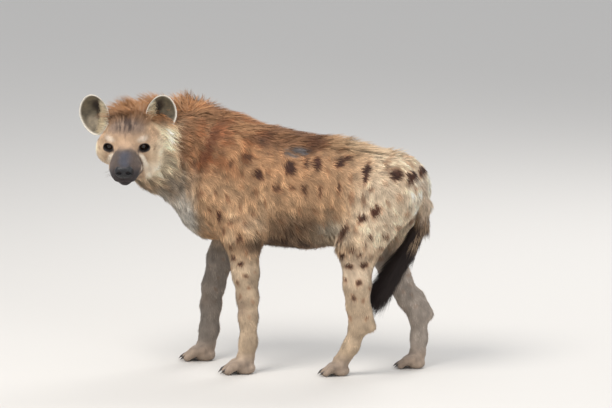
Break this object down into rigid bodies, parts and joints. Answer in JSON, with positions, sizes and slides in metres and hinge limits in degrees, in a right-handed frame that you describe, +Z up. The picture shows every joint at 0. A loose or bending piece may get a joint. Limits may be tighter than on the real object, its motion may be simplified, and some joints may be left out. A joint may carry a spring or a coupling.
{
  "type": "spotted hyena",
  "caption": "Life-size spotted hyena standing on four feet, its head turned to its left, with a maned neck and a hanging tail brush.",
  "frame": {"origin": "on the floor, under the middle of the model's outline box", "axes": "+X to the rear of the body, +Y to its right side, +Z up"},
  "size_m": [1.0816, 0.4698, 0.878],
  "materials": {
    "coat": "short rough tan fur with dark brown spots",
    "leg": "short pale fur with a few brown spots",
    "mane": "long rust-coloured bristly hair",
    "face": "very short grey-brown fur, dark on the muzzle",
    "ear": "thin furred skin, dark inside with pale edges",
    "nose": "bare damp black skin",
    "eye": "wet dark brown eye",
    "claw": "blunt dark horn",
    "brush": "long black tail hair"
  },
  "bodies": {
    "root": {"claw_front_left_1": "claw", "claw_front_left_2": "claw", "claw_front_left_3": "claw", "claw_front_left_4": "claw", "claw_front_right_1": "claw", "claw_front_right_2": "claw", "claw_front_right_3": "claw", "claw_front_right_4": "claw", "claw_hind_left_1": "claw", "claw_hind_left_2": "claw", "claw_hind_left_3": "claw", "claw_hind_left_4": "claw", "claw_hind_right_1": "claw", "claw_hind_right_2": "claw", "claw_hind_right_3": "claw", "claw_hind_right_4": "claw", "ear_left": "ear", "ear_right": "ear", "eye_left": "eye", "eye_right": "eye", "forearm_front_left": "leg", "forearm_front_right": "leg", "forefoot_front_left": "leg", "forefoot_front_right": "leg", "head": "face", "hindfoot_hind_left": "leg", "hindfoot_hind_right": "leg", "neck": "mane", "nose": "nose", "shank_hind_left": "leg", "shank_hind_right": "leg", "tail": "brush", "thigh_hind_left": "coat", "thigh_hind_right": "coat", "torso": "coat", "upper_arm_front_left": "coat", "upper_arm_front_right": "coat"}
  },
  "joints": []
}
